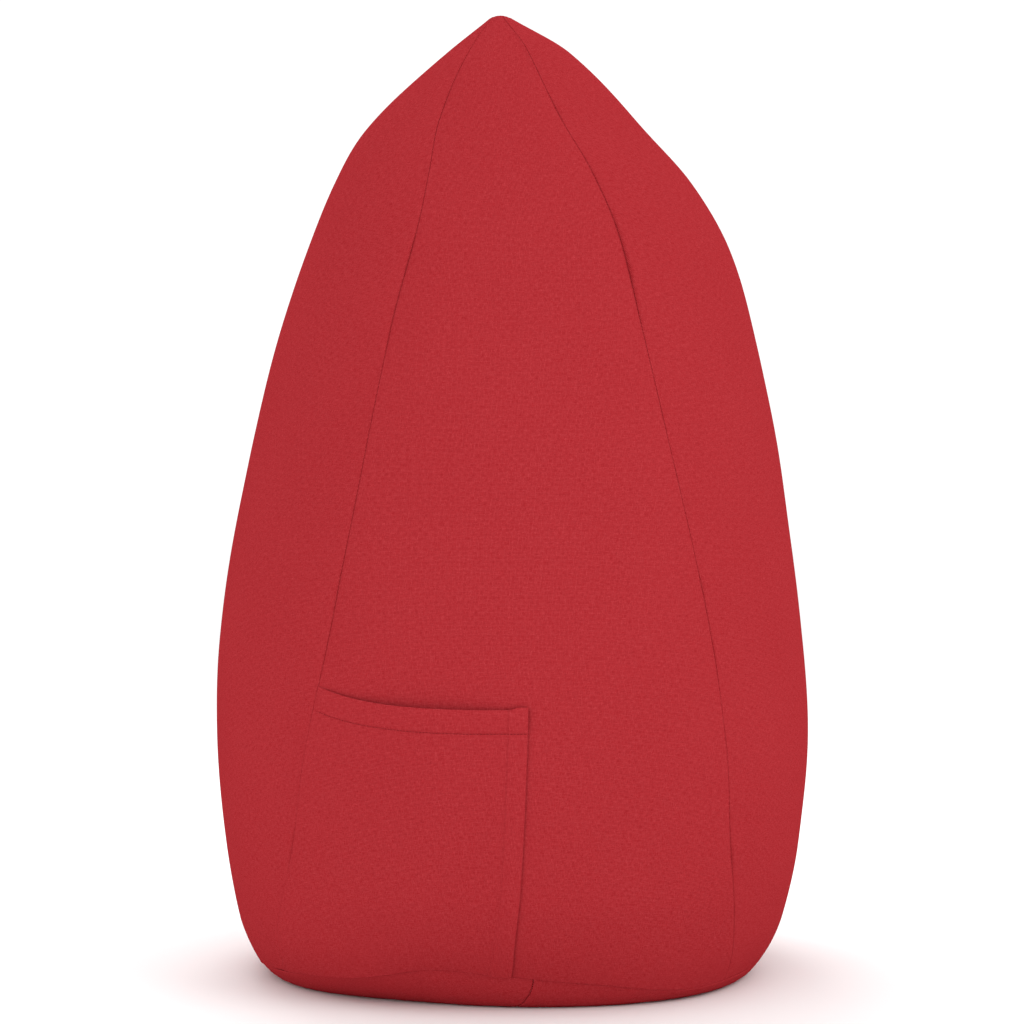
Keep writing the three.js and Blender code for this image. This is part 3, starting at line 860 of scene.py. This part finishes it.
# Section of the gathered peak, as [share of the hole's reach, height above the panels] points.
GATHER_SECTION = [[0.02, -12], [0.7, -11.5], [1, -5], [1, -1], [0.85, 0.9], [0.5, 2], [0.02, 2]]
GATHER_INSET = 1.6
GATHER_ROWS = 6  # for each part of the section
GATHER_COLUMNS = 96
PLEATS = 11
PLEAT_DEPTH = 0.05


def gather_rings(inset, drop=0):
    """Rings of points round the gathered peak, a little inside the hole between the panels."""
    middle_x, middle_y, half_x, half_y = outline_at(PANEL_TOP)
    places = np.arange(len(GATHER_SECTION))
    fine = np.linspace(0, places[-1], GATHER_ROWS * places[-1] + 1)
    reach, rise = (np.interp(fine, places, column)[:, None] for column in np.transpose(GATHER_SECTION))
    angle = np.linspace(0, 2 * math.pi, GATHER_COLUMNS, endpoint=False)[None, :]
    pleats = 1 - PLEAT_DEPTH * (1 + np.cos(PLEATS * angle + 3 * reach)) * smoothstep(reach, 0.1, 0.6)
    return joined(
        middle_x + reach * pleats * (half_x - inset) * np.cos(angle),
        middle_y + reach * pleats * (half_y - inset) * np.sin(angle),
        PANEL_TOP + rise - drop,
    )


def closed_piece(name, rings):
    """A closed body from rings of points, with the first and the last ring filled in."""
    rows, columns = rings.shape[:2]
    near = np.arange(columns // 2)
    cap = strip_quads(near, columns - 1 - near)
    parts = [grid_quads(rows, columns, 0, wrap=True), cap[:, ::-1], cap + (rows - 1) * columns]
    runs = arc_runs(rings.transpose(1, 0, 2)).T
    around = arc_runs(np.concatenate([rings, rings[:, :1]], axis=1))[:, :-1]
    uv = joined(around, runs).reshape(-1, 2)
    return make_mesh(name, rings.reshape(-1, 3), np.concatenate(parts), uv)


# ---- Bindings over the raw edges inside the seams ----

BINDING_DEPTH = 3.2  # under the outer face of the cover
BINDING = 0.8
BINDING_WIDTH = 8
BINDING_CROWN = 0.25
BASE_BINDING_CROWN = 0.15
BINDING_CELL = 6
BINDING_COLUMNS = 9
RIM_BINDING_COLUMNS = 360
RIM_BINDING_LIFT = 1
STRIP_COLUMN = 1.5


def strip_piece(name, node, outer, uv, wrap=False):
    cloth_piece(name, outer, BINDING, uv, binding_cloth, "seam_binding", node, wrap)


def wall_binding(index):
    seam = SEAMS[index][0]
    node = f"{seam}_seam_binding"
    low, high = node_box(node)
    height = np.arange(low[2], high[2], BINDING_CELL)[:, None]
    offset = np.linspace(-BINDING_WIDTH / 2, BINDING_WIDTH / 2, BINDING_COLUMNS)[None, :]
    total = np.where(offset < 0, walls[index - 1].total(height), walls[index].total(height))
    around = index + offset / total
    crown = BINDING_CROWN * (1 - (2 * offset / BINDING_WIDTH) ** 2) - BINDING_CROWN
    outer = cover_point(around, height) + cover_normal(around, height) * (crown - BINDING_DEPTH)[..., None]
    strip_piece(f"{seam}_binding", node, outer, joined(offset, height))


def rim_binding():
    around = np.linspace(0, len(PANELS), RIM_BINDING_COLUMNS, endpoint=False)[None, :]
    height = RIM_HEIGHT + RIM_BINDING_LIFT + np.linspace(0, BINDING_WIDTH, BINDING_COLUMNS)[:, None]
    outer = cover_point(around, height) - BINDING_DEPTH * cover_normal(around, height)
    uv = joined(arc_runs(outer), height)
    strip_piece("rim_binding", "rim_seam_binding", outer, uv, wrap=True)


def flat_strip(name, node, material, slot, thickness, crown=0.0, cell=3.0):
    """A flat piece of cloth or tape that fills the place of a straight CAD node."""
    low, high = node_box(node)
    across = np.linspace(low[0], high[0], max(4, round((high[0] - low[0]) / STRIP_COLUMN)) + 1)
    along = np.linspace(low[1], high[1], max(4, round((high[1] - low[1]) / cell)) + 1)
    x, y = np.meshgrid(across[::-1], along)
    middle = (low[0] + high[0]) / 2
    bulge = crown * (1 - (2 * (x - middle) / (high[0] - low[0])) ** 2)
    outer = joined(x, y, low[2] + crown - bulge)
    cloth_piece(name, outer, thickness, joined(x, y), material, slot, node)


# ---- Stitches ----

STITCH_PITCH = 3.4
STITCH_LENGTH = 2.5
STITCH_SIDES = 6
STITCH_STEPS = 5


def stitch_piece(name, lines, radius=0.3):
    """Short raised stitches along lines, each given as points with the direction out of the cloth."""
    points = []
    turn = np.linspace(0, 2 * math.pi, STITCH_SIDES, endpoint=False)
    step = np.linspace(0, 1, STITCH_STEPS)
    for line, out in lines:
        runs = arc_runs(line)
        for start in np.arange(STITCH_PITCH / 2, runs[-1] - STITCH_LENGTH, STITCH_PITCH):
            run = start + step * STITCH_LENGTH
            middle = joined(*(np.interp(run, runs, line[:, k]) for k in range(3)))
            up = unit(joined(*(np.interp(run, runs, out[:, k]) for k in range(3))))
            side = unit(np.cross(up, np.gradient(middle, axis=0)))
            swell = np.sin(math.pi * np.clip(step, 0.06, 0.94))[:, None]
            ring = radius * (0.5 + 0.5 * swell)
            centre = middle + up * radius * (1.2 * swell - 0.7)
            for angle in turn:
                points.append(centre + ring * (math.cos(angle) * side + math.sin(angle) * up))
    count = len(points) // STITCH_SIDES
    stacked = np.array(points).reshape(count, STITCH_SIDES, STITCH_STEPS, 3).transpose(0, 2, 1, 3)
    body = grid_quads(STITCH_STEPS, STITCH_SIDES, 0, wrap=True)
    ends = np.array([[0, 1, 2, 3], [3, 4, 5, 0]])
    each = np.concatenate([body, ends[:, ::-1], ends + (STITCH_STEPS - 1) * STITCH_SIDES])
    starts = np.arange(count) * STITCH_STEPS * STITCH_SIDES
    quads = (each[None] + starts[:, None, None]).reshape(-1, 4)
    piece = make_mesh(name, stacked.reshape(-1, 3), quads)
    return finish_piece(piece, thread_material, "cover_cloth")


# ---- Patch pocket on the back ----

POCKET_RIGHT = [0.502, 0.528]  # share of the way across the back at the foot and at the mouth
POCKET_BOTTOM = 25
POCKET_TOP = 314
POCKET_CORNER_RISE = 20  # the mouth is this much higher where it enters the rear-left seam
POCKET_GAP = 0.7  # between the pocket and the back
POCKET_GAPE = 8  # how far the mouth stands open
GAPE_SKEW = 1.4  # above 1, it is widest right of its middle
GAPE_RISE = 3
HEM_DEPTH = 24  # from the mouth to the stitches
HEM_PUFF = 1.5
ALLOWANCE = 19  # width of the edge that is turned under on the right
ALLOWANCE_PUFF = 1.5
TURNED_CORNER = 2.5  # the doubled corner stands this far above the rest of the mouth
CORNER_DEPTH = [2, 18]  # distances from the mouth over which that dies out
STITCH_SINK = 0.6  # the row of stitches pulls the cloth in this far
STITCH_SINK_REACH = 0.7
SEAM_PINCH = 14  # distance over which the hem is squeezed flat where it enters the seam
SEAM_SHOULDER = 7  # distance over which the pocket's cloth rounds down in to the seam
POCKET_CELL = 3.5
EDGE_ROUND = 1.8  # distance from a folded edge over which the cloth thins out to it
EDGE_THICKNESS = 0.3


def pocket_stations(total, fold):
    """Distances from a folded edge, close together at the edge and at the line fold away from it."""
    edge = [0, 0.2, 0.6, 1.2, 2.2]
    beside = np.array([0.45, 1, 1.8, 3])
    crease = np.concatenate([fold - beside[::-1], [fold], fold + beside])
    between = np.linspace(edge[-1], crease[0], round((crease[0] - edge[-1]) / POCKET_CELL) + 1)[1:-1]
    rest = np.linspace(crease[-1], total - EDGE_STEPS[0], round((total - crease[-1]) / POCKET_CELL) + 1)[1:]
    return np.concatenate([edge, between, crease, rest, total - turn_in()[::-1]])


def pocket_grid():
    """Distances across and along the back for every point of the pocket, and from its two folded edges."""
    wall = walls[0]
    typical = 0.5 * wall.total(POCKET_TOP / 2)
    from_right = pocket_stations(typical, ALLOWANCE)[::-1]
    deep = wall.along(POCKET_TOP) - wall.along(POCKET_BOTTOM)
    from_top = pocket_stations(deep, HEM_DEPTH)[::-1]
    right, top = np.meshgrid(from_right, from_top)
    u = 1 - right / typical
    mouth = wall.along(POCKET_TOP + POCKET_CORNER_RISE * (1 - u) ** 3)
    length = mouth - wall.along(POCKET_BOTTOM)
    along = mouth - top * (1 + (length / deep - 1) * smoothstep(top, HEM_DEPTH, deep))
    corner = (1 - smoothstep(right, ALLOWANCE / 2, ALLOWANCE)) * (1 - smoothstep(top, *CORNER_DEPTH))
    along = along + TURNED_CORNER * corner
    v = np.clip((wall.height(along) - POCKET_BOTTOM) / (POCKET_TOP - POCKET_BOTTOM), 0, 1)
    edge_share = POCKET_RIGHT[0] + (POCKET_RIGHT[1] - POCKET_RIGHT[0]) * v
    width = wall.across(edge_share, wall.height(along))
    across = width - right * (1 + (width / typical - 1) * smoothstep(right, ALLOWANCE, typical))
    return across, along, right, top, u, v


def pocket_piece():
    wall = walls[0]
    across, along, right, top, u, v = pocket_grid()
    hem = HEM_PUFF * np.clip(1 - np.abs(2 * top / HEM_DEPTH - 1) ** 4, 0, 1) * (top < HEM_DEPTH)
    allowance = ALLOWANCE_PUFF * (1 - smoothstep(right, ALLOWANCE - 1, ALLOWANCE + 1.5))
    sink = STITCH_SINK * np.exp(-((top - HEM_DEPTH) / STITCH_SINK_REACH) ** 2)
    nearest = np.minimum(right, top)
    rounding = (CLOTH - EDGE_THICKNESS) * np.clip(1 - nearest / EDGE_ROUND, 0, 1) ** 1.5
    pinch = smoothstep(across, 0, SEAM_PINCH)
    shoulder = np.sqrt(1 - (1 - np.clip(across / SEAM_SHOULDER, 0, 1)) ** 2)
    full = CLOTH + (hem + allowance) * pinch - sink - rounding
    thickness = EDGE_THICKNESS + (full - EDGE_THICKNESS) * shoulder
    gape = POCKET_GAPE * np.sin(math.pi * np.clip(u, 0, 1) ** GAPE_SKEW) * v ** GAPE_RISE
    skin, out = wall.surface(across, along)
    gap = POCKET_GAP * (0.1 + 0.9 * pinch)
    outer = skin + out * (gap + gape + thickness)[..., None]
    uv = joined(across - wall.total(wall.height(along)) / 2, along)
    pocket = cloth_piece("pocket_cloth", outer, thickness, uv, cover_cloth, "cover_cloth", "pocket_panel")
    hem_row = int(np.argmin(np.abs(top[:, 0] - HEM_DEPTH)))
    clear_of_seam = slice(ROLL_STEPS + 3, -2)
    line = (outer[hem_row, clear_of_seam], out[hem_row, clear_of_seam])
    stitches = stitch_piece("pocket_hem_stitches", [line])


# ---- Zip ----

COIL_PITCH = 1.25
COIL_WIRE = 0.45
COIL_SPAN = [0.05, 3]  # from the middle of the zip: the two coils meet, and reach the edges of their tapes
COIL_STEPS = 10
WIRE_SIDES = 5
GARAGE_STITCH_INSET = 2.5
GARAGE_STITCH_DROP = 0.05
GARAGE_STITCH_RADIUS = 0.22
TAPE = 0.6


def coil_piece(name, side):
    """The nylon coil on one edge of the zip, wound along the tape."""
    node = f"zip_coil_{name}"
    low, high = node_box(node)
    low[0], high[0] = sorted(side * place for place in COIL_SPAN)
    turns = (high[1] - low[1]) / COIL_PITCH - 1
    angle = np.linspace(0, 2 * math.pi * turns, round(turns * COIL_STEPS)) + (side > 0) * math.pi
    reach = (high - low) / 2 - COIL_WIRE
    middle = (low + high) / 2
    path = joined(
        middle[0] + reach[0] * np.cos(angle),
        low[1] + COIL_PITCH / 2 + np.linspace(0, turns * COIL_PITCH, len(angle)),
        middle[2] + reach[2] * np.sin(angle),
    )
    out = unit(joined(np.cos(angle), 0, np.sin(angle)))
    beside = unit(np.cross(out, np.gradient(path, axis=0)))
    turn = np.linspace(0, 2 * math.pi, WIRE_SIDES + 1, endpoint=False)[None, :, None]
    rings = path[:, None] + COIL_WIRE * (np.cos(turn) * beside[:, None] + np.sin(turn) * out[:, None])
    finish_piece(closed_piece(f"{node}_wound", rings), nylon_material, "zip_coil", node)


def zip_pieces():
    for name, side in (("left", -1), ("right", 1)):
        coil_piece(name, side)
        flat_strip(f"zip_tape_{name}_woven", f"zip_tape_{name}", zip_cloth, "zip_tape", TAPE)
    flat_strip("zip_garage_cloth", "zip_garage", cover_cloth, "cover_cloth", CLOTH, cell=1.5)
    low, high = node_box("zip_garage")
    left, rear, _ = low + GARAGE_STITCH_INSET
    right, front, _ = high - GARAGE_STITCH_INSET
    bottom = low[2] - GARAGE_STITCH_DROP
    corners = [(left, rear), (left, front), (right, front), (right, rear)]
    path = np.array([(x, y, bottom) for x, y in corners])
    down = np.array([(0.0, 0.0, -1.0)] * 2)
    sides = [(path[i:i + 2], down) for i in range(3)]
    stitch_piece("zip_garage_stitches", sides, radius=GARAGE_STITCH_RADIUS)


# ---- Liner and beads ----

LINER_DEPTH = 5.6  # under the outer face of the cover
LINER = 0.6
LINER_ROLL = 1.2
LINER_CELL = 14
LINER_HEIGHT_SHARE = 0.98
LINER_BASE_HEIGHT = 10
LINER_BASE_COLUMNS = 61
LINER_FOOT_SHARE = 0.86
LINER_BASE_SHARE = 0.97
LINER_GATHER_INSET = 4.4
LINER_GATHER_DROP = 4
LINER_CREASE = 0.35
CREASE_SPACING = 17
CREASE_WANDER = 61
FILL_DEPTH = 8.4
FILL_LUMP = 0.5
FILL_LUMP_TURN = 9.1  # radians of a wave of lumps for each panel
FILL_LUMP_RISE = 23  # height over which it turns by one radian
FILL_LUMP_WANDER = 31
FILL_BASE_HEIGHT = 12.6
FILL_BASE_SHARE = 0.945
FILL_TOP = 1005
FILL_COLUMNS = 200
FILL_ROWS = 90


def lowered(points):
    """The liner is cut shorter than the cover."""
    return points * np.array([1, 1, LINER_HEIGHT_SHARE])


def liner_wall(wall):
    name = PANELS[wall.index][0]
    across, along, uv = wall.grid(LINER_CELL)
    creases = LINER_CREASE * (1 + np.sin(across / CREASE_SPACING + 2 * np.sin(along / CREASE_WANDER)))
    outer, out = wall.surface(across, along, roll=LINER_ROLL, depth=LINER_DEPTH, loose=False)
    outer = lowered(outer - out * creases[..., None])
    cloth_piece(
        f"liner_{name}_cloth", outer, LINER, uv, liner_cloth, "liner_cloth", f"liner_{name}_panel")


def liner_base():
    places = np.linspace(-1, 1, LINER_BASE_COLUMNS)
    across, along = np.meshgrid(places[::-1], places)
    share, angle = disc_place(across, along)
    points = base_point(share * LINER_BASE_SHARE, angle, LINER_FOOT_SHARE)
    points[..., 2] += LINER_BASE_HEIGHT
    cloth_piece(
        "liner_base_cloth", points, LINER, points[..., :2], liner_cloth, "liner_cloth", "liner_base_panel")


def row_height(share):
    """Heights of the rings of beads, closer together near the rim and the peak."""
    return RIM_HEIGHT + (PANEL_TOP - RIM_HEIGHT) * (share - 0.08 * np.sin(2 * math.pi * share))


def bead_piece():
    around = np.linspace(0, len(PANELS), FILL_COLUMNS, endpoint=False)[None, :]
    shares = np.concatenate([[0.01], np.linspace(0.08, LINER_FOOT_SHARE, 12), [0.9, FILL_BASE_SHARE]])
    floor = base_point(shares[:, None], cover_angle(around, RIM_HEIGHT), LINER_FOOT_SHARE)
    floor[..., 2] += FILL_BASE_HEIGHT
    heights = row_height(np.linspace(1 / 18, 17 / 18, FILL_ROWS))[:, None]
    wander = 2 * np.sin(heights / FILL_LUMP_WANDER)
    lumps = np.sin(around * FILL_LUMP_TURN + wander) * np.sin(heights / FILL_LUMP_RISE)
    depth = FILL_DEPTH + FILL_LUMP * lumps
    sides = lowered(cover_point(around, heights) - cover_normal(around, heights) * depth[..., None])
    middle_x, middle_y, _, _ = outline_at(PANEL_TOP)
    peak = np.array([middle_x, middle_y, FILL_TOP])
    closing = np.linspace(0.25, 0.98, 5)[:, None, None]
    top = sides[-1] + (peak - sides[-1]) * closing
    piece = closed_piece("bead_filling", np.concatenate([floor, sides, top]))
    finish_piece(piece, bead_material, "foam_beads", "bead_fill")


settled_field = settle_cover()
for wall in walls:
    wall_piece(wall)
for base_name, base_side in (("left", -1), ("right", 1)):
    base_piece(base_name, base_side)
peak = closed_piece("peak_tuck", gather_rings(GATHER_INSET))
finish_piece(peak, cover_cloth, "cover_cloth", "peak_gather")

pocket_piece()

for seam_index in range(len(SEAMS)):
    wall_binding(seam_index)
rim_binding()
for end in ("front", "rear"):
    flat_strip(
        f"base_{end}_binding", f"base_{end}_seam_binding",
        binding_cloth, "seam_binding", BINDING, BASE_BINDING_CROWN)
zip_pieces()
for metal_name in ("zip_stop_front", "zip_stop_rear", "zip_slider"):
    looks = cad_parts[metal_name].data.materials
    looks.clear()
    looks.append(metal_material)

for wall in walls:
    liner_wall(wall)
liner_base()
liner_peak = closed_piece("liner_peak_tuck", lowered(gather_rings(LINER_GATHER_INSET, LINER_GATHER_DROP)))
finish_piece(liner_peak, liner_cloth, "liner_cloth", "liner_peak_gather")
bead_piece()


# ---- Floor and light ----

def make_stage():
    mesh = bpy.data.meshes.new("floor")
    corners = [(-1, -1), (1, -1), (1, 1), (-1, 1)]
    places = [(x * FLOOR_REACH, y * FLOOR_REACH, FLOOR_CLEAR) for x, y in corners]
    mesh.from_pydata(places, [], [(0, 1, 2, 3)])
    floor = add_object("floor", mesh)
    white = (FLOOR_BRIGHTNESS, FLOOR_BRIGHTNESS, FLOOR_BRIGHTNESS, 1)
    mesh.materials.append(new_material("floor", 0.9, Base_Color=white)[0])


def make_light(name, location, target, size, power):
    data = bpy.data.lights.new(name, "AREA")
    data.size = size
    data.energy = power
    light = add_object(name, data)
    light.location = location
    light.rotation_euler = (Vector(target) - Vector(location)).to_track_quat("-Z", "Y").to_euler()


def make_world(strength):
    world = bpy.data.worlds.new("studio")
    world.use_nodes = True
    background = world.node_tree.nodes["Background"]
    background.inputs["Color"].default_value = (1, 1, 1, 1)
    background.inputs["Strength"].default_value = strength
    bpy.context.scene.world = world


make_stage()
make_world(WORLD_STRENGTH)
for light in LIGHTS:
    make_light(*light)
bpy.context.scene.view_settings.view_transform = "Standard"
